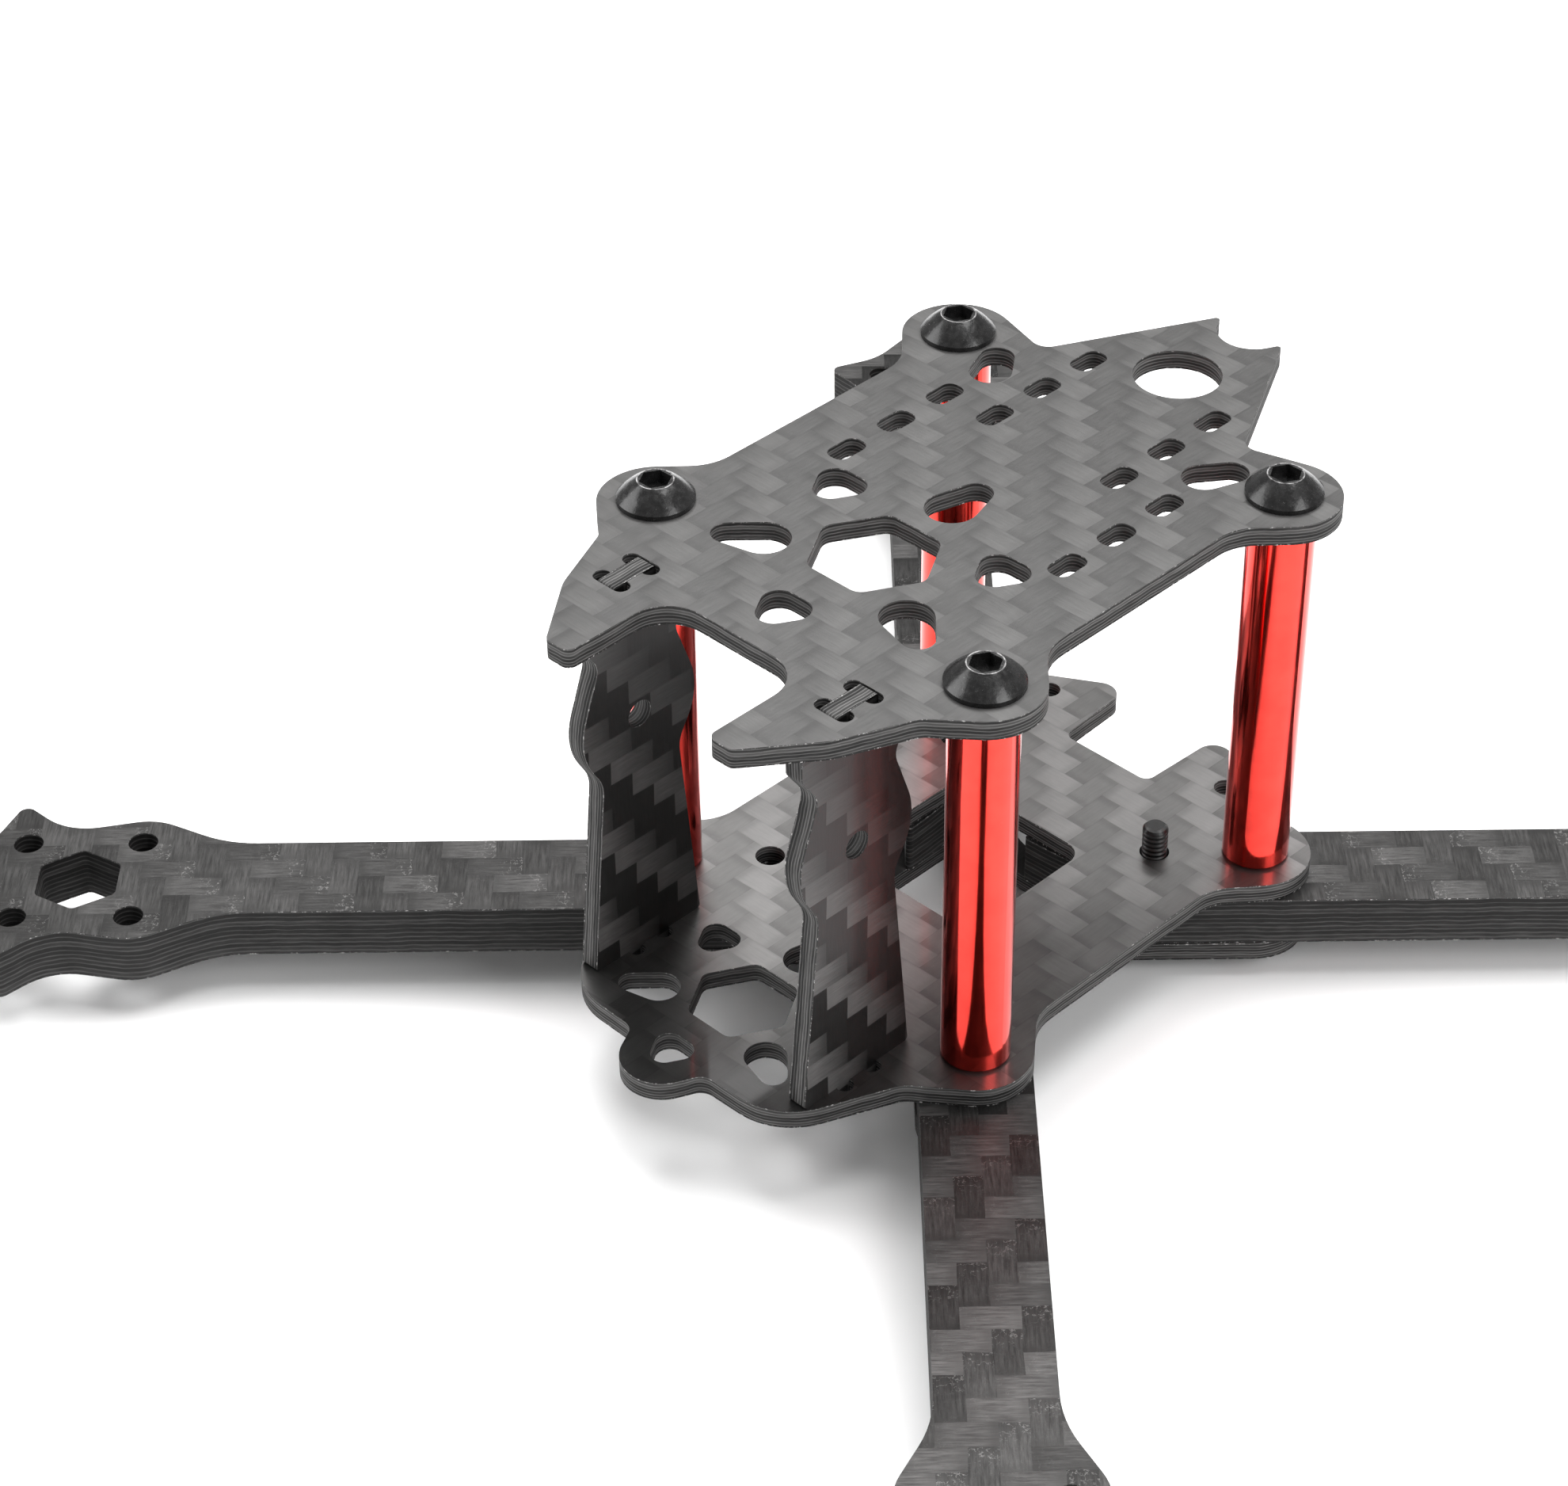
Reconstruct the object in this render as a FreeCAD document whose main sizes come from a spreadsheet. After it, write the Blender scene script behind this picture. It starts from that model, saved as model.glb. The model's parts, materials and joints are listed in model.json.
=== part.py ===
import FreeCAD, Part
import math
import os

import Sketcher
from FreeCAD import Placement, Rotation, Vector

# Bare airframe of a small racing quadcopter. Front is -Y, left is +X, up is +Z.
# The origin is on the floor, in the middle of the four standoffs, and lengths are in millimetres.

SIZES = {
    # stack of plates, from the floor up
    "head_height": 1.65,
    "plate_thick": 1.5,
    "arm_thick": 4.0,
    "standoff_height": 30.0,
    # standoffs and M3 screws
    "standoff_half": 15.25,
    "standoff_radius": 2.45,
    "standoff_edge": 0.25,
    "tapped_radius": 1.5,
    "clear_radius": 1.6,
    "shank_radius": 1.45,
    "head_radius": 2.75,
    "head_rim": 0.35,
    "crown_radius": 1.32,
    "socket_radius": 1.155,
    "socket_deep": 1.0,
    "socket_corner": 0.08,
    "dome_out": 0.04,
    "dome_up": 0.04,
    "shank_chamfer": 0.3,
    "top_shank": 6.0,
    "bottom_shank": 12.0,
    # flight stack holes and the M2 screw
    "stack_half": 10.0,
    "stack_hole": 1.1,
    "stack_shank_radius": 0.95,
    "stack_shank": 9.5,
    "stack_head_radius": 1.75,
    "stack_head": 1.3,
    "stack_rim": 0.25,
    "stack_crown": 1.0,
    "stack_socket": 0.75,
    "stack_socket_deep": 0.6,
    # outlines shared by the three plates
    "ear_radius": 4.1,
    "top_waist": 15.5,
    "base_waist": 15.75,
    "lower_hollow": 7.5,
    "waist_hollow": 4.0,
    "waist_reach": 8.0,
    "centre_half": 6.3,
    "centre_corner": 1.5,
    # arms
    "arm_width": 8.0,
    "motor_reach": 65.0,
    "motor_circle": 6.0,
    "motor_hole": 1.1,
    "motor_bore_flat": 2.95,
    "tip_bore_flat": 1.65,
    "tip_bore_reach": 7.6,
    "mount_bore_corner": 0.6,
    # camera plates and the slots that hold them
    "camera_half": 10.3,
    "camera_y": -22.7,
    "pivot_level": 20.15,
    "pivot_radius": 1.05,
    "bulge_radius": 5.2,
    "foot_half": 5.05,
    "tab_half": 1.92,
    "tab_slack": 0.08,
    "slot_half": 0.78,
    "slot_bar": 0.9,
    "slot_relief": 0.65,
    # cut-outs
    "top_rosette_y": -9.6,
    "top_rosette_flat": 4.15,
    "base_rosette_y": -22.7,
    "base_rosette_flat": 3.5,
    "antenna_y": 22.0,
    "antenna_radius": 3.25,
    "strap_pitch": 5.03,
    "strap_width": 1.8,
    "strap_length": 2.95,
    "strap_corner": 0.75,
    "inner_strap_x": 5.8,
    "inner_strap_y": 8.86,
    "outer_strap_x": 10.26,
    "outer_strap_y": -1.63,
    "tie_x": 8.9,
    "tie_y": 19.6,
    "tie_radius": 0.9,
}

SIDES = (1, -1)
CORNERS = {
    "front_left": (1, -1),
    "front_right": (-1, -1),
    "rear_left": (1, 1),
    "rear_right": (-1, 1),
}

doc = FreeCAD.newDocument("RacingAirframe")
sheet = doc.addObject("Spreadsheet::Sheet", "Sizes")


def fill_sheet():
    """Write the driving sizes into the sheet, one row each, with an alias."""
    for row, (name, number) in enumerate(SIZES.items(), start=1):
        sheet.set(f"A{row}", name)
        sheet.set(f"B{row}", str(number))
        sheet.setAlias(f"B{row}", name)
    doc.recompute()


def value(formula):
    """Number that a formula over the sheet's aliases has now."""
    return float(sheet.evalExpression(formula))


def size(alias):
    """Number in one cell of the sheet."""
    return float(sheet.get(alias))


# ---- outlines: a closed line pulled round a ring of discs ----

def heading(first, second):
    """Direction of the straight that leaves one disc and meets the next."""
    across = second[0] - first[0]
    along = second[1] - first[1]
    lean = math.asin((second[2] - first[2]) / math.hypot(across, along))
    return math.atan2(along, across) - lean


def touch(disc, angle):
    """Point of a disc's rim where a straight with this heading touches it."""
    x, y, radius = disc
    return Vector(x + radius * math.sin(angle), y - radius * math.cos(angle), 0)


def rim_arc(disc, enter, leave):
    """Arc of a disc's rim between the headings of the straights on either side of it."""
    x, y, radius = disc
    circle = Part.Circle(Vector(x, y, 0), Vector(0, 0, 1), abs(radius))
    if radius > 0:
        turn = (leave - enter) % (2 * math.pi)
        start = enter - math.pi / 2
    else:
        turn = (enter - leave) % (2 * math.pi)
        start = leave + math.pi / 2
    return Part.ArcOfCircle(circle, start, start + turn)


def outline(discs):
    """Lines and arcs round discs (x, y, radius) listed anticlockwise.

    A positive radius is a round corner, a negative one a hollow and zero a sharp corner.
    """
    count = len(discs)
    angles = [heading(discs[i], discs[(i + 1) % count]) for i in range(count)]
    curves = []
    for i, disc in enumerate(discs):
        following = discs[(i + 1) % count]
        if disc[2]:
            curves.append(rim_arc(disc, angles[i - 1], angles[i]))
        curves.append(Part.LineSegment(touch(disc, angles[i]), touch(following, angles[i])))
    return curves


def mirrored(centre_front, half, centre_rear):
    """Ring symmetric about the Y axis, from its right half listed front to rear."""
    other = [(-x, y, radius) for x, y, radius in reversed(half)]
    return centre_front + half + centre_rear + other


def ring(flat, corner, centre=(0, 0), first_angle=0.0):
    """Hexagon with rounded corners: flat is half its width across flats."""
    reach = (flat - corner) / math.cos(math.pi / 6)
    angles = [math.radians(first_angle + 60 * i) for i in range(6)]
    return [(centre[0] + reach * math.cos(a), centre[1] + reach * math.sin(a), corner) for a in angles]


def box_ring(half_x, half_y, corner):
    """Rectangle about the origin with rounded corners."""
    dx = half_x - corner
    dy = half_y - corner
    return [(dx, -dy, corner), (dx, dy, corner), (-dx, dy, corner), (-dx, -dy, corner)]


def moved(discs, x, y):
    """The same ring, shifted."""
    return [(x + dx, y + dy, radius) for dx, dy, radius in discs]


# ---- bodies, sketches and features ----

def new_body(name):
    """Empty body whose label names its file."""
    body = doc.addObject("PartDesign::Body", name)
    body.Label = name
    return body


def new_sketch(body, name, plane="XY_Plane", offset=None):
    """Sketch on one of the body's own origin planes."""
    sketch = body.newObject("Sketcher::SketchObject", name)
    support = [item for item in body.Origin.OriginFeatures if item.Role == plane][0]
    sketch.AttachmentSupport = (support, "")
    sketch.MapMode = "FlatFace"
    if offset:
        sketch.AttachmentOffset = Placement(offset, Rotation())
    return sketch


def draw(sketch, rings):
    """Add closed rings to a sketch and hold their curves where they are."""
    for discs in rings:
        for curve in outline(discs):
            sketch.addConstraint(Sketcher.Constraint("Block", sketch.addGeometry(curve, False)))


def draw_circle(sketch, radius, x_formula, y_formula):
    """Circle whose radius and centre follow the sheet."""
    spots = {"Radius": radius, "DistanceX": x_formula, "DistanceY": y_formula}
    centre = Vector(value(x_formula), value(y_formula), 0)
    index = sketch.addGeometry(Part.Circle(centre, Vector(0, 0, 1), value(radius)), False)
    for kind, formula in spots.items():
        if kind == "Radius":
            rule = Sketcher.Constraint(kind, index, value(formula))
        else:
            rule = Sketcher.Constraint(kind, -1, 1, index, 3, value(formula))
        place = sketch.addConstraint(rule)
        sketch.setExpression(f"Constraints[{place}]", formula)


def pad(body, sketch, name, length, midplane=False):
    """Pad a sketch up to a length that follows the sheet."""
    feature = body.newObject("PartDesign::Pad", name)
    feature.Profile = sketch
    feature.Midplane = midplane
    feature.setExpression("Length", length)
    sketch.Visibility = False
    doc.recompute()


def cut_through(body, sketch, name):
    """Pocket a sketch right through the body, and make sure that it cuts."""
    before = body.Shape.Volume
    feature = body.newObject("PartDesign::Pocket", name)
    feature.Profile = sketch
    feature.Type = "ThroughAll"
    feature.Midplane = True
    sketch.Visibility = False
    doc.recompute()
    if body.Shape.Volume >= before:
        raise RuntimeError(f"{name} removed nothing from {body.Label}")
    return feature


def cut_rings(body, name, rings, plane="XY_Plane"):
    """Cut closed rings through a plate."""
    sketch = new_sketch(body, f"{body.Name}_{name}_sketch", plane)
    draw(sketch, rings)
    cut_through(body, sketch, f"{body.Name}_{name}")


def cut_circles(body, name, radius, spots, plane="XY_Plane"):
    """Cut round holes through a plate, at (x, y) pairs of formulas."""
    sketch = new_sketch(body, f"{body.Name}_{name}_sketch", plane)
    for x_formula, y_formula in spots:
        draw_circle(sketch, radius, x_formula, y_formula)
    cut_through(body, sketch, f"{body.Name}_{name}")


def repeat_round(body, feature, sketch, count):
    """Repeat a cut about its sketch's own centre."""
    pattern = body.newObject("PartDesign::PolarPattern", f"{feature.Name}_ring")
    pattern.Originals = [feature]
    pattern.Axis = (sketch, ["N_Axis"])
    pattern.Angle = 360
    pattern.Occurrences = count
    body.Tip = pattern
    doc.recompute()


def repeat_along(body, feature, sketch, count, pitch):
    """Repeat a cut along +Y, at a pitch that follows the sheet."""
    pattern = body.newObject("PartDesign::LinearPattern", f"{feature.Name}_row")
    pattern.Originals = [feature]
    pattern.Direction = (sketch, ["V_Axis"])
    pattern.Occurrences = count
    pattern.setExpression("Length", f"{count - 1} * {pitch}")
    body.Tip = pattern
    doc.recompute()


def corner_spots(half):
    """Formulas of the four corners of a square pattern."""
    return [(f"{sx} * {half}", f"{sy} * {half}") for sx, sy in CORNERS.values()]


def plate(name, discs, thick, level):
    """Flat plate padded from one outline, with its underside at a level."""
    body = new_body(name)
    sketch = new_sketch(body, f"{name}_outline")
    draw(sketch, [discs])
    pad(body, sketch, f"{name}_pad", thick)
    body.setExpression("Placement.Base.z", level)
    return body


# ---- levels of the stack ----

LOWER_LEVEL = "Sizes.head_height"
ARM_LEVEL = "Sizes.head_height + Sizes.plate_thick"
BASE_LEVEL = ARM_LEVEL + " + Sizes.arm_thick"
DECK_LEVEL = BASE_LEVEL + " + Sizes.plate_thick"
TOP_LEVEL = DECK_LEVEL + " + Sizes.standoff_height"
CROWN_LEVEL = TOP_LEVEL + " + Sizes.plate_thick"


# ---- plates ----

def waist_discs(half):
    """Hollows that pull a plate in to its waist between the front and rear ears."""
    hollow = size("waist_hollow")
    x = half + hollow
    reach = size("waist_reach")
    return [(x, -reach, -hollow), (x, reach, -hollow)]


def ear(side_y):
    """Round ear that surrounds a standoff."""
    half = size("standoff_half")
    return (half, side_y * half, size("ear_radius"))


def top_outline():
    """Top plate: two horns at the front, four ears and a forked tail."""
    front = [
        (3.45, -25.6, -3.0),
        (7.15, -30.85, 0.7),
        (8.2, -30.85, 0.7),
        (9.0, -24.4, 4.0),
        (16.55, -22.1, -2.0),
    ]
    tail = [(10.1, 19.35, -1.3), (2.88, 29.85, 0.25)]
    half = front + [ear(-1)] + waist_discs(size("top_waist")) + [ear(1)] + tail
    return mirrored([], half, [(0, 30.45, -2.6)])


def base_outline():
    """Base plate: three round lobes at the front, four ears and a notch at the rear."""
    lobe = (0, -30.45, 3.05)
    front = [(4.35, -31.2, -1.2), (6.8, -24.65, 5.3), (16.05, -22.8, -2.4)]
    rear = [(13.5, 21.25, -1.9), (5.8, 21.95, 1.4), (3.35, 16.85, -0.8)]
    half = front + [ear(-1)] + waist_discs(size("base_waist")) + [ear(1)] + rear
    return mirrored([lobe], half, [])


def lower_outline():
    """Lower plate: a cross as wide as its round ends, with one large hollow between neighbours."""
    hollow = size("lower_hollow")
    notch = (size("ear_radius") + hollow) * math.sqrt(2)
    front = [(0, -notch, -hollow)]
    half = [ear(-1), (notch, 0, -hollow), ear(1)]
    return mirrored(front, half, [(0, notch, -hollow)])


def cut_rosette(body, name, centre_y, flat, scale):
    """Hexagon with three tapered slots and three rounded triangles set round it."""
    centre = Vector(0, value(centre_y), 0)
    slot = [(0, 7.65 * scale, 1.9 * scale), (0, 10.15 * scale, 1.23 * scale)]
    reach = 8.75 * scale
    spread = 0.75 * scale
    corner = 1.28 * scale
    x = reach * math.cos(math.pi / 6)
    y = reach / 2
    angles = [math.radians(30 + 120 * i) for i in range(3)]
    triangle = [(x + spread * math.cos(a), y + spread * math.sin(a), corner) for a in angles]
    groups = {"hexagon": ring(flat, 1.1 * scale), "slot": slot, "triangle": triangle}
    for label, discs in groups.items():
        sketch = new_sketch(body, f"{name}_{label}_sketch", offset=centre)
        sketch.setExpression("AttachmentOffset.Base.y", centre_y)
        draw(sketch, [discs])
        feature = cut_through(body, sketch, f"{name}_{label}")
        if label != "hexagon":
            repeat_round(body, feature, sketch, 3)


def dogbone(half_x, half_y):
    """Slot for a tab, opened out at both ends to clear the cutter."""
    relief = size("slot_relief")
    bar = size("slot_bar")
    end = half_y - relief
    step = half_y - 2 * relief
    quarter = [(half_x, step, 0), (bar, end, relief)]
    upper = quarter + [(-x, y, r) for x, y, r in reversed(quarter)]
    return upper + [(-x, -y, r) for x, y, r in upper]


def cut_camera_slots(body):
    """Two dogbone slots that take the camera plates' tabs."""
    discs = dogbone(size("slot_half"), size("tab_half") + size("tab_slack"))
    rings = [moved(discs, side * size("camera_half"), size("camera_y")) for side in SIDES]
    cut_rings(body, "camera_slots", rings)


def cut_strap_row(body, name, x_alias, y_alias):
    """Rows of three short slots for straps and ties, one row each side."""
    half_x = size("strap_width") / 2
    half_y = size("strap_length") / 2
    slot = box_ring(half_x, half_y, size("strap_corner"))
    rings = [moved(slot, side * size(x_alias), size(y_alias)) for side in SIDES]
    sketch = new_sketch(body, f"{name}_sketch")
    draw(sketch, rings)
    feature = cut_through(body, sketch, name)
    repeat_along(body, feature, sketch, 3, "Sizes.strap_pitch")


def make_top_plate():
    """Top plate with its rosette, strap slots, antenna hole and screw holes."""
    body = plate("top_plate", top_outline(), "Sizes.plate_thick", TOP_LEVEL)
    cut_circles(body, "screw_holes", "Sizes.clear_radius", corner_spots("Sizes.standoff_half"))
    cut_circles(body, "antenna_hole", "Sizes.antenna_radius", [("0", "Sizes.antenna_y")])
    cut_camera_slots(body)
    angled = [(9.95, 12.95, 1.57), (10.95, 14.75, 1.28)]
    cut_rings(body, "angled_slots", [angled, [(-x, y, r) for x, y, r in angled]])
    cut_rosette(body, "top_rosette", "Sizes.top_rosette_y", size("top_rosette_flat"), 1.0)
    cut_strap_row(body, "inner_straps", "inner_strap_x", "inner_strap_y")
    cut_strap_row(body, "outer_straps", "outer_strap_x", "outer_strap_y")


def make_base_plate():
    """Base plate on top of the arms."""
    body = plate("base_plate", base_outline(), "Sizes.plate_thick", BASE_LEVEL)
    cut_circles(body, "screw_holes", "Sizes.clear_radius", corner_spots("Sizes.standoff_half"))
    cut_circles(body, "stack_holes", "Sizes.stack_hole", corner_spots("Sizes.stack_half"))
    ties = [(f"{side} * Sizes.tie_x", "Sizes.tie_y") for side in SIDES]
    cut_circles(body, "tie_holes", "Sizes.tie_radius", ties)
    half = size("centre_half")
    cut_rings(body, "centre", [box_ring(half, half, size("centre_corner"))])
    cut_camera_slots(body)
    cut_rosette(body, "base_rosette", "Sizes.base_rosette_y", size("base_rosette_flat"), 0.8)


def make_lower_plate():
    """Lower plate, clamped under the arms."""
    body = plate("lower_plate", lower_outline(), "Sizes.plate_thick", LOWER_LEVEL)
    cut_circles(body, "screw_holes", "Sizes.clear_radius", corner_spots("Sizes.standoff_half"))
    cut_circles(body, "stack_holes", "Sizes.stack_hole", corner_spots("Sizes.stack_half"))
    half = size("centre_half")
    cut_rings(body, "centre", [box_ring(half, half, size("centre_corner"))])


# ---- arms ----

def arm_outline():
    """Arm along +X: a notch round the centre opening, a straight beam and a horned motor mount."""
    reach = size("motor_reach")
    half = size("arm_width") / 2
    notch = size("centre_half") * math.sqrt(2)
    outer_corner = 0.3
    inner_corner = 0.4
    root = (notch - half + outer_corner, half - outer_corner, outer_corner)
    mount = [
        (11.2, 7.9, -5.2),
        (4.9, 7.75, 0.7),
        (0.2, 10.5, -4.5),
        (-4.3, 2.5, 4.25),
        (-12.8, half + 9.0, -9.0),
    ]
    upper = moved(mount, reach, 0) + [root]
    lower = [(x, -y, radius) for x, y, radius in reversed(upper)]
    tip = (reach + 11.65, 0, 0.85)
    return [tip] + upper + [(notch - inner_corner * math.sqrt(2), 0, -inner_corner)] + lower


def make_arm(corner, side_x, side_y):
    """One arm, turned from +X to its own corner."""
    name = f"arm_{corner}"
    body = plate(name, arm_outline(), "Sizes.arm_thick", ARM_LEVEL)
    cut_circles(body, "screw_hole", "Sizes.clear_radius", [("Sizes.standoff_half * sqrt(2)", "0")])
    cut_circles(body, "stack_hole", "Sizes.stack_hole", [("Sizes.stack_half * sqrt(2)", "0")])
    step = "Sizes.motor_circle / sqrt(2)"
    spots = [(f"Sizes.motor_reach + {sx} * {step}", f"{sy} * {step}") for sx, sy in CORNERS.values()]
    cut_circles(body, "motor_holes", "Sizes.motor_hole", spots)
    reach = size("motor_reach")
    corner_radius = size("mount_bore_corner")
    bore = ring(size("motor_bore_flat"), corner_radius, (reach, 0), 30)
    tip = ring(size("tip_bore_flat"), corner_radius, (reach + size("tip_bore_reach"), 0))
    cut_rings(body, "mount_bores", [bore, tip])
    angle = math.degrees(math.atan2(side_y, side_x))
    body.Placement = Placement(Vector(0, 0, value(ARM_LEVEL)), Rotation(Vector(0, 0, 1), angle))


# ---- camera plates ----

def camera_outline():
    """Side plate in its own frame: x runs to the rear and y runs up from the base plate's top."""
    height = size("standoff_height")
    thick = size("plate_thick")
    foot = size("foot_half")
    tab = size("tab_half")
    bulge = size("bulge_radius")
    corner = 0.2
    toe = 0.3
    half = [
        (tab - corner, -thick + corner, corner),
        (tab, 0, 0),
        (foot - toe, toe, toe),
        (6.2, 15.3, -2.6),
        (0, size("pivot_level"), bulge),
        (5.25, height - 4.4, -1.6),
        (4.4, height - 1.8, 0.6),
        (4.8, height - corner, corner),
        (tab, height, 0),
        (tab - corner, height + thick - corner, corner),
    ]
    front = [(-x, y, radius) for x, y, radius in reversed(half)]
    return half + front


def make_camera_plate(label, side):
    """Upright plate that holds one side of the camera."""
    body = new_body(f"camera_plate_{label}")
    sketch = new_sketch(body, f"{body.Name}_outline", "YZ_Plane")
    draw(sketch, [camera_outline()])
    pad(body, sketch, f"{body.Name}_pad", "Sizes.plate_thick", midplane=True)
    cut_circles(body, "pivot", "Sizes.pivot_radius", [("0", "Sizes.pivot_level")], "YZ_Plane")
    body.setExpression("Placement.Base.x", f"{side} * Sizes.camera_half")
    body.setExpression("Placement.Base.y", "Sizes.camera_y")
    body.setExpression("Placement.Base.z", DECK_LEVEL)


# ---- turned parts ----

def revolve(body, curves):
    """Turn a half section in the XZ plane about the Z axis."""
    sketch = new_sketch(body, f"{body.Name}_section", "XZ_Plane")
    for curve in curves:
        sketch.addConstraint(Sketcher.Constraint("Block", sketch.addGeometry(curve, False)))
    feature = body.newObject("PartDesign::Revolution", f"{body.Name}_turn")
    feature.Profile = sketch
    feature.ReferenceAxis = (sketch, ["V_Axis"])
    feature.Angle = 360
    sketch.Visibility = False
    doc.recompute()


def open_lines(points):
    """Line segments through a row of (x, y) points."""
    ends = [Vector(x, y, 0) for x, y in points]
    return [Part.LineSegment(a, b) for a, b in zip(ends, ends[1:])]


def make_standoff(corner, side_x, side_y):
    """Round tube, tapped right through, with broken edges."""
    body = new_body(f"standoff_{corner}")
    outer = size("standoff_radius")
    bore = size("tapped_radius")
    height = size("standoff_height")
    edge = size("standoff_edge")
    section = [
        (bore + edge, 0),
        (outer - edge, 0),
        (outer, edge),
        (outer, height - edge),
        (outer - edge, height),
        (bore + edge, height),
        (bore, height - edge),
        (bore, edge),
        (bore + edge, 0),
    ]
    revolve(body, open_lines(section))
    body.setExpression("Placement.Base.x", f"{side_x} * Sizes.standoff_half")
    body.setExpression("Placement.Base.y", f"{side_y} * Sizes.standoff_half")
    body.setExpression("Placement.Base.z", DECK_LEVEL)


def screw_section(shank, length, head, rim, crown, height):
    """Half section of a button-head screw, with the head's underside at zero."""
    tip = size("shank_chamfer")
    lower = [(0, -length), (shank - tip, -length), (shank, tip - length), (shank, 0), (head, 0), (head, rim)]
    mid_x = (head + crown) / 2 + size("dome_out")
    mid_y = (rim + height) / 2 + size("dome_up")
    dome = Part.Arc(Vector(head, rim, 0), Vector(mid_x, mid_y, 0), Vector(crown, height, 0))
    upper = [(crown, height), (0, height), (0, -length)]
    return open_lines(lower) + [dome] + open_lines(upper)


def make_screw(name, dims, socket, depth, place, turn=None):
    """Button-head screw with a hexagon socket, its head's underside on the body's origin."""
    body = new_body(name)
    revolve(body, screw_section(*dims))
    sketch = new_sketch(body, f"{name}_socket_sketch", offset=Vector(0, 0, dims[-1]))
    draw(sketch, [ring(socket * math.cos(math.pi / 6), size("socket_corner"))])
    before = body.Shape.Volume
    feature = body.newObject("PartDesign::Pocket", f"{name}_socket")
    feature.Profile = sketch
    feature.setExpression("Length", depth)
    sketch.Visibility = False
    doc.recompute()
    if body.Shape.Volume >= before:
        raise RuntimeError(f"{name} has no socket")
    if turn:
        body.Placement = Placement(Vector(), turn)
    for axis, formula in zip("xyz", place):
        body.setExpression(f"Placement.Base.{axis}", formula)


FLIP = Rotation(Vector(1, 0, 0), 180)


def m3_dims(length):
    """Sizes of an M3 button-head screw."""
    head = [size("head_radius"), size("head_rim"), size("crown_radius"), size("head_height")]
    return [size("shank_radius"), length] + head


def make_m3_screws(corner, side_x, side_y):
    """One screw down through the top plate, and one up through the arm, both into a standoff."""
    spot = [f"{side_x} * Sizes.standoff_half", f"{side_y} * Sizes.standoff_half"]
    socket = size("socket_radius")
    upper = spot + [CROWN_LEVEL]
    lower = spot + [LOWER_LEVEL]
    make_screw(f"top_screw_{corner}", m3_dims(size("top_shank")), socket, "Sizes.socket_deep", upper)
    dims = m3_dims(size("bottom_shank"))
    make_screw(f"bottom_screw_{corner}", dims, socket, "Sizes.socket_deep", lower, FLIP)


def make_stack_screw():
    """M2 screw at the rear left, up through the plates and the arm, standing proud of the deck."""
    dims = [
        size("stack_shank_radius"),
        size("stack_shank"),
        size("stack_head_radius"),
        size("stack_rim"),
        size("stack_crown"),
        size("stack_head"),
    ]
    place = ["Sizes.stack_half", "Sizes.stack_half", LOWER_LEVEL]
    make_screw("stack_screw", dims, size("stack_socket"), "Sizes.stack_socket_deep", place, FLIP)


# ---- build, check and write ----

def build():
    """Make every sub-part."""
    make_top_plate()
    make_base_plate()
    make_lower_plate()
    for corner, (side_x, side_y) in CORNERS.items():
        make_arm(corner, side_x, side_y)
        make_standoff(corner, side_x, side_y)
        make_m3_screws(corner, side_x, side_y)
    make_stack_screw()
    make_camera_plate("left", 1)
    make_camera_plate("right", -1)
    doc.recompute()


def check():
    """Stop if any object failed, or any sub-part isn't one valid solid."""
    for item in doc.Objects:
        if "Invalid" in item.State or "Error" in item.State:
            raise RuntimeError(f"{item.Name} failed: {item.State}")
    bodies = [item for item in doc.Objects if item.TypeId == "PartDesign::Body"]
    for body in bodies:
        shape = body.Shape
        if shape.isNull() or not shape.isValid() or len(shape.Solids) != 1:
            raise RuntimeError(f"{body.Label} isn't one valid solid")
    return bodies


def write(bodies):
    """Write each sub-part to a file named after it."""
    os.makedirs("parts", exist_ok=True)
    for body in bodies:
        body.Shape.exportStep(f"parts/{body.Label}.step")


fill_sheet()
build()
write(check())
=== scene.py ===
import json
import math

import bpy
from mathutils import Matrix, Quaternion, Vector


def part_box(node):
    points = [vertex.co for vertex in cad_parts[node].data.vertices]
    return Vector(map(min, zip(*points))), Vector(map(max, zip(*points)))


# Looks, light and camera for the racing airframe. Lengths are in metres, and in the materials in
# millimetres. Front is -Y, left is +X, up is +Z.

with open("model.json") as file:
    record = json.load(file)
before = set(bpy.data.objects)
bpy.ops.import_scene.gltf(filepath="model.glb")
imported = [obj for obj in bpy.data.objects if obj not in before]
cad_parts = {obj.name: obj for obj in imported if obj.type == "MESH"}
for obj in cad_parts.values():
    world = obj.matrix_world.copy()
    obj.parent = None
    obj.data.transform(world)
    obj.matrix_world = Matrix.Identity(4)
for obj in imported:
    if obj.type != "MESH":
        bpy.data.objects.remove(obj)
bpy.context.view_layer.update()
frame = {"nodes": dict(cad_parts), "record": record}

MM = 1000.0
PLATE_THICK = 1.5
STANDOFF_HALF = 15.25
# A unit step along a diagonal moves this far along each axis.
DIAGONAL = math.sqrt(0.5)
# A 2 x 2 twill repeats every four tows, and each tow passes over two.
TWILL_REPEAT = 4.0
TWILL_FLOAT = 2.0

# Tints, and the red metal's colours.
CARBON_TINT = (1.0, 0.98, 0.965)
STEEL_TINT = (1.0, 0.98, 0.98)
RED_TINT = (0.88, 0.045, 0.03)
DUST_COLOUR = (0.8, 0.5, 0.45, 1.0)

# Ranges that the mapped values share.
WHOLE = (0.0, 1.0)
FALLING = (1.0, 0.0)
MIDDLE_OF_NOISE = (0.3, 0.7)


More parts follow.
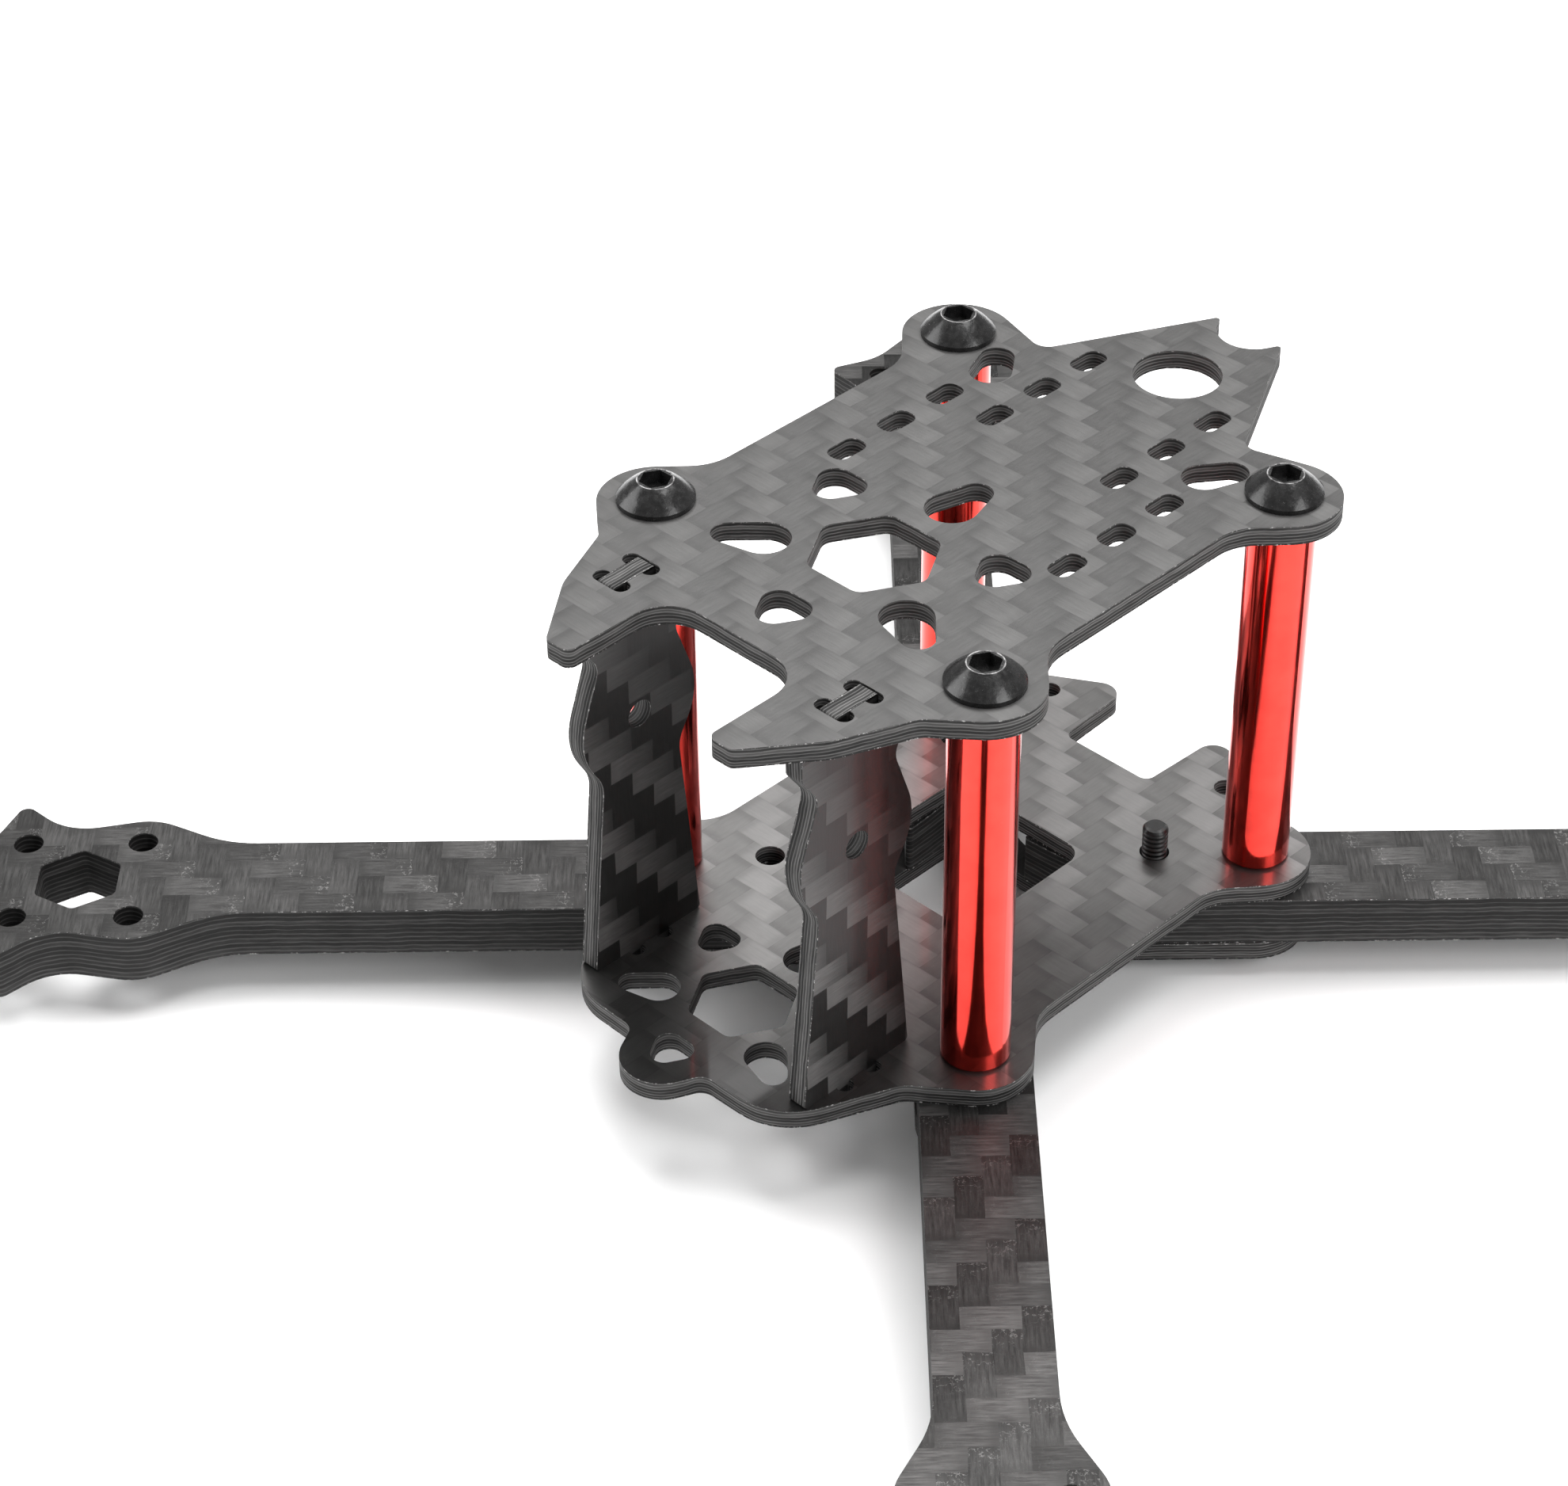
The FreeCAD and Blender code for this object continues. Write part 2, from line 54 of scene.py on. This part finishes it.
class Shader:
    """Builds one node material, a node at a time."""

    def __init__(self, name):
        self.material = bpy.data.materials.new(name)
        self.material.use_nodes = True
        self.tree = self.material.node_tree
        self.surface = self.tree.nodes["Principled BSDF"]

    def add(self, kind, **settings):
        """New node with its plain settings."""
        node = self.tree.nodes.new(kind)
        for key, setting in settings.items():
            setattr(node, key, setting)
        return node

    def feed(self, socket, source):
        """Link an output to an input, or set the input to a constant."""
        if isinstance(source, bpy.types.NodeSocket):
            self.tree.links.new(source, socket)
        else:
            socket.default_value = source

    def math(self, operation, first, second=0.0):
        """Output of one Math node."""
        node = self.add("ShaderNodeMath", operation=operation)
        self.feed(node.inputs[0], first)
        self.feed(node.inputs[1], second)
        return node.outputs[0]

    def times(self, first, second):
        """Product of two numbers."""
        return self.math("MULTIPLY", first, second)

    def plus(self, first, second):
        """Sum of two numbers."""
        return self.math("ADD", first, second)

    def minus(self, first, second):
        """First number less the second."""
        return self.math("SUBTRACT", first, second)

    def magnitude(self, number):
        """Number without its sign."""
        return self.math("ABSOLUTE", number)

    def spread(self, value, within, onto, style="SMOOTHSTEP"):
        """Map one range of values onto another, held at its ends."""
        node = self.add("ShaderNodeMapRange", interpolation_type=style)
        for socket, source in zip(node.inputs, (value, *within, *onto)):
            self.feed(socket, source)
        return node.outputs[0]

    def blend(self, factor, first, second, kind="FLOAT"):
        """Mix of two numbers, vectors or colours."""
        node = self.add("ShaderNodeMix", data_type=kind)
        first_slot, second_slot, output = {"FLOAT": (2, 3, 0), "VECTOR": (4, 5, 1), "RGBA": (6, 7, 2)}[kind]
        self.feed(node.inputs[0], factor)
        self.feed(node.inputs[first_slot], first)
        self.feed(node.inputs[second_slot], second)
        return node.outputs[output]

    def join(self, x, y, z):
        """Vector from three numbers."""
        node = self.add("ShaderNodeCombineXYZ")
        for socket, source in zip(node.inputs, (x, y, z)):
            self.feed(socket, source)
        return node.outputs[0]

    def position(self):
        """The three coordinates of the surface point, in millimetres."""
        place = self.add("ShaderNodeTexCoord").outputs["Object"]
        parts = self.add("ShaderNodeSeparateXYZ")
        self.feed(parts.inputs[0], place)
        return [self.times(out, MM) for out in parts.outputs]

    def normal(self):
        """The three parts of the surface normal."""
        parts = self.add("ShaderNodeSeparateXYZ")
        self.feed(parts.inputs[0], self.add("ShaderNodeNewGeometry").outputs["True Normal"])
        return list(parts.outputs)

    def noise(self, place, scale, detail=2.0, roughness=0.5):
        """Fractal noise from 0 to 1."""
        node = self.add("ShaderNodeTexNoise")
        self.feed(node.inputs["Vector"], place)
        node.inputs["Scale"].default_value = scale
        node.inputs["Detail"].default_value = detail
        node.inputs["Roughness"].default_value = roughness
        return node.outputs["Fac"]

    def random(self, place):
        """One random number for each whole-number place."""
        node = self.add("ShaderNodeTexWhiteNoise", noise_dimensions="3D")
        self.feed(node.inputs["Vector"], place)
        return node.outputs["Value"]

    def grey(self, level, tint=(1.0, 1.0, 1.0)):
        """Colour from a brightness and a tint."""
        parts = [self.times(level, part) for part in tint]
        return self.join(*parts)

    def bump(self, height, depth_mm, strength=1.0):
        """Normal bent by a height from 0 to 1 that stands for a real depth."""
        node = self.add("ShaderNodeBump")
        node.inputs["Strength"].default_value = strength
        node.inputs["Distance"].default_value = depth_mm / MM
        self.feed(node.inputs["Height"], height)
        return node.outputs["Normal"]

    def finish(self, **sockets):
        """Connect the finished values to the surface."""
        for key, source in sockets.items():
            self.feed(self.surface.inputs[key.replace("_", " ")], source)
        return self.material


# ---- helpers on a value ----

def arch(shader, value, power):
    """Curve that is 0 at both ends of 0 to 1, and 1 in the middle."""
    centred = shader.magnitude(shader.minus(shader.times(value, 2.0), 1.0))
    return shader.minus(1.0, shader.math("POWER", centred, power))


def vary(shader, level, value, amount):
    """Scale a brightness up and down by a value that runs from 0 to 1."""
    least = 0.2
    swing = shader.times(shader.minus(value, 0.5), amount)
    return shader.times(level, shader.math("MAXIMUM", shader.plus(swing, 1.0), least))


# ---- carbon laminate ----

def spokes(shader, x, y):
    """On the four diagonal arms: which diagonal, the distance to the arm's left, and outward along it."""
    rising = shader.times(shader.plus(x, y), DIAGONAL)
    falling = shader.times(shader.minus(y, x), DIAGONAL)
    rising_size = shader.magnitude(rising)
    falling_size = shader.magnitude(falling)
    on_rising = shader.math("GREATER_THAN", rising_size, falling_size)
    left_of_rising = shader.times(falling, shader.math("SIGN", rising))
    left_of_falling = shader.times(rising, shader.math("SIGN", shader.times(falling, -1.0)))
    across = shader.blend(on_rising, left_of_falling, left_of_rising)
    return on_rising, across, shader.math("MAXIMUM", rising_size, falling_size)


def sheet_axes(shader, place, plane):
    """Weft and warp coordinates, the one through the sheet, and the two fibre directions."""
    x, y, z = place
    if plane == "side":
        return y, z, shader.magnitude(x), (0, 1, 0), (0, 0, 1)
    if plane == "arms":
        on_rising, across, outward = spokes(shader, x, y)
        rising = (DIAGONAL, DIAGONAL, 0)
        falling = (-DIAGONAL, DIAGONAL, 0)
        weft = shader.blend(on_rising, rising, falling, "VECTOR")
        warp = shader.blend(on_rising, falling, rising, "VECTOR")
        return across, outward, z, weft, warp
    return x, y, z, (1, 0, 0), (0, 1, 0)


def twill(shader, u, v, look):
    """2 x 2 twill: whether the warp is on top, the tow's own tone, and the place on it."""
    most_drift = 0.35
    drift = shader.noise(shader.join(u, v, 0.0), scale=0.16, detail=1.0)
    shift = shader.times(shader.minus(drift, 0.5), most_drift)
    u_from = shader.minus(shader.plus(u, shift), look["start"][0])
    v_from = shader.minus(shader.minus(v, shift), look["start"][1])
    u_cell = shader.math("DIVIDE", u_from, look["tow"][0])
    v_cell = shader.math("DIVIDE", v_from, look["tow"][1])
    column = shader.math("FLOOR", u_cell)
    row = shader.math("FLOOR", v_cell)
    in_u = shader.math("FRACT", u_cell)
    in_v = shader.math("FRACT", v_cell)
    diagonal = shader.plus(column, row)
    step = shader.math("FLOORED_MODULO", diagonal, TWILL_REPEAT)
    warp = shader.math("LESS_THAN", step, TWILL_FLOAT - 0.5)
    on_warp = shader.plus(step, in_v)
    on_weft = shader.plus(shader.minus(step, TWILL_FLOAT), in_u)
    length = shader.math("DIVIDE", shader.blend(warp, on_weft, on_warp), TWILL_FLOAT)
    across = shader.blend(warp, in_v, in_u)
    tow = shader.blend(warp, row, column)
    block = shader.math("FLOOR", shader.math("DIVIDE", diagonal, TWILL_REPEAT))
    tone = shader.random(shader.join(tow, block, warp))
    return warp, tone, length, across


def fibres(shader, warp, u, v):
    """Streaks along whichever tow is on top: fine across it, long along it."""
    fine = 4.5
    long = 0.4
    weft_layer = 7.0
    along_v = shader.join(shader.times(u, fine), shader.times(v, long), 0.0)
    along_u = shader.join(shader.times(u, long), shader.times(v, fine), weft_layer)
    place = shader.blend(warp, along_u, along_v, "VECTOR")
    threads = shader.noise(place, scale=1.0, detail=5.0, roughness=0.7)
    return shader.spread(threads, (0.34, 0.66), WHOLE, "LINEAR")


def woven_level(shader, u, v, weave, streak, look):
    """Brightness of the flat faces: pale weft over dark warp, which is painted sheen, with streaks,
    smudges, and dark tow ends and sides, which are painted shade.
    """
    warp, tone, length, across = weave
    end_shade = 0.15
    middle = arch(shader, length, 2.0)
    # The fibre streaks are grain; their stronger swing in the middle of each tow is painted sheen.
    swing = shader.times(shader.spread(middle, WHOLE, (0.3, 1.0)), look["streak"])
    smudges = shader.noise(shader.join(u, v, 0.0), scale=0.3, detail=3.0)
    # Painted sheen and shade: the weft is brighter than the warp, and slope makes each weft float lighter
    # at one end.
    weft_level = vary(shader, look["weft"], length, look["slope"])
    level = shader.blend(warp, weft_level, look["warp"])
    level = vary(shader, level, tone, look["tone"])
    level = vary(shader, level, streak, swing)
    level = vary(shader, level, smudges, look["smudge"])
    # Painted shade: darker towards one end of a range of the weft coordinate, then of the warp coordinate.
    level = shader.times(level, shader.spread(u, *look["painted_shade_weft"]))
    level = shader.times(level, shader.spread(v, *look["painted_shade_warp"]))
    # Painted shade in the grooves: each tow is darker along its two sides.
    level = shader.times(level, shader.spread(arch(shader, across, 2.0), (0.0, 0.25), (0.9, 1.0)))
    # Painted shade where each tow dips at its ends.
    ends = shader.spread(middle, (0.2, 0.75), FALLING)
    return shader.times(level, shader.minus(1.0, shader.times(ends, end_shade)))


def squiggles(shader, u, v):
    """Short wandering scratches, in patches."""
    place = shader.join(u, v, 0.0)
    line_width = 0.03
    wander = shader.minus(shader.noise(place, scale=1.5, detail=3.0, roughness=0.6), 0.5)
    line = shader.spread(shader.magnitude(wander), (0.0, line_width), FALLING)
    patches = shader.noise(place, scale=2.6, detail=3.0, roughness=0.6)
    return shader.times(line, shader.spread(patches, (0.42, 0.6), WHOLE))


def scuffs(shader, u, v, weave):
    """Scratches near the start of each tow, strong on the warp and faint on the weft."""
    warp, _, length, _ = weave
    weft_share = 0.15
    near_start = shader.spread(length, (0.15, 0.45), (1.0, 0.1))
    share = shader.blend(warp, weft_share, 1.0)
    return shader.times(squiggles(shader, u, v), shader.times(near_start, share))


def plies(shader, u, v, through, pitch):
    """Stacked layers on a cut edge: lines at the pitch of the plies, broken up along their length."""
    most_sway = 0.3
    line_share = 0.45
    tone_share = 0.35
    break_share = 0.6
    stretch = 0.5
    squash = 2.2
    sway = shader.times(shader.noise(shader.join(u, v, through), scale=0.35), most_sway)
    level = shader.math("DIVIDE", shader.plus(through, sway), pitch)
    ridge = shader.magnitude(shader.minus(shader.math("FRACT", level), 0.5))
    line = shader.math("POWER", shader.times(ridge, 2.0), 3.0)
    tone = shader.random(shader.join(shader.math("FLOOR", level), 3.0, 5.0))
    place = shader.join(shader.times(u, stretch), shader.times(v, stretch), shader.times(level, squash))
    breaks = shader.noise(place, scale=1.0, detail=3.0, roughness=0.65)
    lines = shader.plus(shader.times(line, line_share), shader.times(tone, tone_share))
    return shader.plus(lines, shader.times(breaks, break_share))


def rim_chips(shader, u, v, through, low, high):
    """Pale chips along both rims of a cut edge."""
    reach = 0.14
    nearest = shader.math("MINIMUM", shader.minus(through, low), shader.minus(high, through))
    scatter = shader.noise(shader.join(u, v, through), scale=3.4, detail=5.0, roughness=0.75)
    near = shader.spread(nearest, (0.0, reach), FALLING)
    return shader.times(near, shader.spread(scatter, (0.54, 0.64), WHOLE))


def wall_shade(shader, layer, chips, look):
    """Brightness of a cut edge, from its layers and its chips."""
    level = shader.spread(layer, (0.35, 1.1), (look["edge_dark"], look["edge_light"]))
    return shader.plus(level, shader.times(chips, look["chip"]))


def face_height(shader, weave, streak, look):
    """Height of the flat faces: each tow is crowned, and its fibres stand out a little."""
    _, _, length, across = weave
    crown_share = 0.25
    fibre_share = 0.2
    crown = shader.times(arch(shader, across, 2.0), arch(shader, length, 4.0))
    relief = shader.plus(shader.times(crown, crown_share), shader.times(streak, fibre_share))
    return shader.times(relief, look["relief"])


def carbon(name, plane, low, thick, look):
    """Twill laminate with cut, layered edges. Low and thick place it along its through axis."""
    shader = Shader(name)
    u, v, through, weft_way, warp_way = sheet_axes(shader, shader.position(), plane)
    weave = twill(shader, u, v, look)
    warp = weave[0]
    streak = fibres(shader, warp, u, v)
    scratches = shader.times(scuffs(shader, u, v, weave), look["scuff"])
    face_level = shader.plus(woven_level(shader, u, v, weave, streak, look), scratches)

    normal = shader.normal()
    facing = normal[0] if plane == "side" else normal[2]
    wall = shader.math("LESS_THAN", shader.magnitude(facing), 0.5)
    layer = plies(shader, u, v, through, look["ply"])
    wall_level = wall_shade(shader, layer, rim_chips(shader, u, v, through, low, low + thick), look)

    rough = vary(shader, look["rough"], streak, 0.2 * look["relief"])
    height = shader.blend(wall, face_height(shader, weave, streak, look), layer)
    return shader.finish(
        Base_Color=shader.grey(shader.blend(wall, face_level, wall_level), CARBON_TINT),
        Roughness=shader.blend(wall, rough, 0.7),
        Metallic=shader.blend(wall, look["metal"], 0.0),
        Specular_IOR_Level=shader.blend(wall, 0.35, 0.25),
        Anisotropic=look["aniso"],
        Tangent=shader.blend(warp, warp_way, weft_way, "VECTOR"),
        Coat_Weight=shader.blend(wall, look["coat"], 0.0),
        Coat_Roughness=look["coat_rough"],
        Normal=shader.bump(height, depth_mm=0.04),
    )


# ---- metals and floor ----

def red_anodised(name):
    """Polished red metal, with faint drawn lines along it and specks of dust."""
    shader = Shader(name)
    x, y, z = shader.position()
    place = shader.join(x, y, z)
    stretch = 0.02
    dust_rough = 0.6
    lines = shader.noise(shader.join(x, y, shader.times(z, stretch)), scale=5.0, detail=3.0, roughness=0.6)
    mottle = shader.noise(place, scale=0.5, detail=3.0)
    specks = shader.noise(place, scale=4.5, detail=3.0, roughness=0.7)
    red = shader.grey(shader.spread(mottle, MIDDLE_OF_NOISE, (0.85, 1.05)), RED_TINT)
    rough = shader.spread(lines, MIDDLE_OF_NOISE, (0.08, 0.15))
    dust = shader.spread(specks, (0.76, 0.79), (0.0, 0.5))
    return shader.finish(
        Base_Color=shader.blend(dust, red, DUST_COLOUR, "RGBA"),
        Metallic=1.0,
        Roughness=shader.plus(rough, shader.times(dust, dust_rough)),
        Coat_Weight=0.35,
        Coat_Roughness=0.1,
        Normal=shader.bump(lines, depth_mm=0.004, strength=0.5),
    )


def painted_highlight_rim(shader, x, y, mottle, rim):
    """Painted highlight: a thin, broken bright circle of bare-looking metal round the axis of the nearest
    M3 screw, on the crown of its head.
    """
    from_x = shader.minus(shader.magnitude(x), STANDOFF_HALF)
    from_y = shader.minus(shader.magnitude(y), STANDOFF_HALF)
    square = shader.plus(shader.math("POWER", from_x, 2.0), shader.math("POWER", from_y, 2.0))
    gap = shader.magnitude(shader.minus(shader.math("SQRT", square), rim))
    line = shader.spread(gap, (0.01, 0.07), FALLING)
    return shader.times(line, shader.spread(mottle, (0.35, 0.65), (0.05, 0.4)))


def black_steel(name, rough, wear, pitch, rims):
    """Black oxide with worn specks, a painted highlight ring at each given radius, and thread lines at a
    pitch along Z where there is a thread.
    """
    shader = Shader(name)
    x, y, z = shader.position()
    place = shader.join(x, y, z)
    mottle_height = 0.025
    thread = shader.math("PINGPONG", z, pitch / 2) if pitch else 0.0
    mottle = shader.noise(place, scale=2.2, detail=4.0, roughness=0.6)
    specks = shader.noise(place, scale=7.0, detail=4.0, roughness=0.7)
    oxide = shader.spread(mottle, MIDDLE_OF_NOISE, (0.008, 0.016))
    level = shader.plus(oxide, shader.spread(specks, (0.66, 0.72), (0.0, wear)))
    # Painted highlight rings on the crown of each head.
    for rim in rims:
        level = shader.plus(level, painted_highlight_rim(shader, x, y, mottle, rim))
    return shader.finish(
        Base_Color=shader.grey(level, STEEL_TINT),
        Metallic=0.2,
        Specular_IOR_Level=0.4,
        Roughness=shader.spread(mottle, MIDDLE_OF_NOISE, (rough - 0.05, rough + 0.07)),
        Coat_Weight=0.2,
        Coat_Roughness=0.08,
        Normal=shader.bump(shader.plus(shader.times(mottle, mottle_height), thread), depth_mm=1.0),
    )


def pale_floor(name):
    """White table with a very slight grain."""
    shader = Shader(name)
    place = shader.join(*shader.position())
    grain = shader.noise(place, scale=0.02)
    return shader.finish(
        Base_Color=shader.grey(shader.spread(grain, MIDDLE_OF_NOISE, (0.93, 0.95))),
        Roughness=0.6,
        Specular_IOR_Level=0.2,
    )


# ---- looks ----
# tow and start: size of a tow and the corner of the weave, along the weft and the warp, in millimetres.
# The two shade ranges, one along the weft and one along the warp coordinate, are painted shade: a range of
# the coordinate, and the brightness at its two ends.
# weft, warp, edge_dark and edge_light are brightnesses, and slope, tone, streak and smudge vary them. The
# gap between weft and warp is painted sheen, and slope is painted shade along each weft float.
# ply is the pitch of the layers on a cut edge, in millimetres.

NO_PAINTED_SHADE = ((-60.0, 60.0), (1.0, 1.0))
SATIN = {
    "tow": (1.85, 2.0), "start": (2.79, 0.4), "painted_shade_weft": NO_PAINTED_SHADE, "painted_shade_warp": NO_PAINTED_SHADE, "relief": 0.7,
    "weft": 0.079, "warp": 0.064, "slope": 0.45, "tone": 0.14, "streak": 0.25, "smudge": 0.4, "scuff": 0.01,
    "ply": 0.25, "edge_dark": 0.01, "edge_light": 0.155, "chip": 0.5,
    "rough": 0.42, "metal": 0.4, "aniso": 0.5, "coat": 0.06, "coat_rough": 0.35,
}
# Painted shade: the base plate gets darker towards its front, where the top plate shades it.
BASE = {
    **SATIN, "painted_shade_warp": ((-33.0, -12.0), (0.36, 1.0)), "relief": 0.0,
    "weft": 0.17, "warp": 0.132, "slope": 0.15, "streak": 0.12,
    "rough": 0.31, "metal": 0.85, "aniso": 0.3, "coat": 0.25, "coat_rough": 0.06,
}
# Painted shade: the camera plates get darker towards the rear and towards the top, and each weft float is
# lighter at its front end.
CAMERA = {
    **SATIN, "tow": (1.94, 1.972), "start": (-29.44, 32.04), "relief": 0.4,
    "painted_shade_weft": ((-31.0, -18.0), (1.0, 0.35)), "painted_shade_warp": ((19.0, 35.0), (1.0, 0.36)),
    "weft": 0.1, "warp": 0.018, "slope": -1.2, "streak": 0.5, "scuff": 0.0, "edge_light": 0.16,
    "rough": 0.42, "metal": 0.15, "aniso": 0.6, "coat": 0.15, "coat_rough": 0.1,
}
ARMS = {
    **SATIN, "tow": (2.0, 2.0), "start": (-2.0, 0.5), "relief": 0.4,
    "weft": 0.054, "warp": 0.043, "slope": 0.1, "tone": 0.6, "streak": 0.9, "smudge": 0.9, "scuff": 0.1,
    "ply": 0.4, "edge_dark": 0.01, "edge_light": 0.075,
    "rough": 0.48, "metal": 0.85, "aniso": 0.6, "coat": 0.03, "coat_rough": 0.3,
}
# The ring at 1.27 mm on the M3 heads is a painted highlight.
SCREW = {"rough": 0.24, "wear": 0.15, "pitch": 0.0, "rims": (1.27,)}
STACK_SCREW = {"rough": 0.4, "wear": 0.03, "pitch": 0.4, "rims": ()}


def box_low(node, axis):
    """Lowest coordinate of a node along an axis, in millimetres."""
    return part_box(node)[0][axis] * MM


def make_materials():
    """One material for each slot of the record."""
    arm_low = box_low("arm_front_left", 2)
    arm_thick = box_low("base_plate", 2) - arm_low
    camera_low = box_low("camera_plate_left", 0)
    return {
        "top_plate": carbon("top_plate", "flat", box_low("top_plate", 2), PLATE_THICK, SATIN),
        "base_plate": carbon("base_plate", "flat", box_low("base_plate", 2), PLATE_THICK, BASE),
        "lower_plate": carbon("lower_plate", "flat", box_low("lower_plate", 2), PLATE_THICK, SATIN),
        "arm": carbon("arm", "arms", arm_low, arm_thick, ARMS),
        "camera_plate": carbon("camera_plate", "side", camera_low, PLATE_THICK, CAMERA),
        "standoff": red_anodised("standoff"),
        "screw": black_steel("screw", **SCREW),
        "stack_screw": black_steel("stack_screw", **STACK_SCREW),
    }


def dress_frame():
    """Give each CAD node the material of its slot."""
    materials = make_materials()
    for entry in frame["record"]["subparts"]:
        slots = frame["nodes"][entry["node"]].data.materials
        slots.clear()
        slots.append(materials[entry["material_slot"]])


# ---- floor, light and camera ----

def make_floor():
    """Round white table under the part."""
    bpy.ops.mesh.primitive_circle_add(vertices=96, radius=3.0, fill_type="NGON")
    floor = bpy.context.object
    floor.name = "floor"
    floor.data.materials.append(pale_floor("floor"))


def area_light(name, place, aim, size, power):
    """Soft rectangular light that faces a point."""
    data = bpy.data.lights.new(name, "AREA")
    data.shape = "RECTANGLE"
    data.size, data.size_y = size
    data.energy = power
    light = bpy.data.objects.new(name, data)
    light.location = place
    light.rotation_mode = "QUATERNION"
    light.rotation_quaternion = (Vector(aim) - Vector(place)).to_track_quat("-Z", "Y")
    bpy.context.collection.objects.link(light)


def make_light():
    """Large overhead softbox, a smaller fill on each side, and a dim white room round them."""
    aim = (0.0, 0.0, 0.02)
    area_light("overhead", (-0.10, 0.25, 0.75), aim, (0.9, 0.7), 13.0)
    area_light("left_fill", (-0.55, -0.45, 0.40), aim, (0.5, 0.5), 3.5)
    area_light("right_fill", (0.65, 0.05, 0.40), aim, (0.35, 0.5), 3.0)
    world = bpy.data.worlds.new("room")
    world.use_nodes = True
    background = world.node_tree.nodes["Background"]
    background.inputs["Color"].default_value = (1.0, 1.0, 1.0, 1.0)
    background.inputs["Strength"].default_value = 0.38
    bpy.context.scene.world = world


def make_camera():
    """Long lens that looks down on the part from its front left."""
    data = bpy.data.cameras.new("camera")
    data.sensor_width = 36.0
    data.lens = 87.1
    data.shift_x = -0.0605
    data.shift_y = -0.0112
    data.clip_start = 0.01
    data.dof.use_dof = False
    camera = bpy.data.objects.new("camera", data)
    place = Vector((0.14477, -0.16191, 0.18440))
    aim = Vector((0.01346, -0.02324, 0.04015))
    roll = Quaternion((0.0, 0.0, 1.0), math.radians(0.346))
    camera.location = place
    camera.rotation_mode = "QUATERNION"
    camera.rotation_quaternion = (aim - place).to_track_quat("-Z", "Y") @ roll
    bpy.context.collection.objects.link(camera)
    bpy.context.scene.camera = camera


bpy.context.scene.view_settings.view_transform = "Standard"
make_camera()
make_floor()
make_light()
dress_frame()
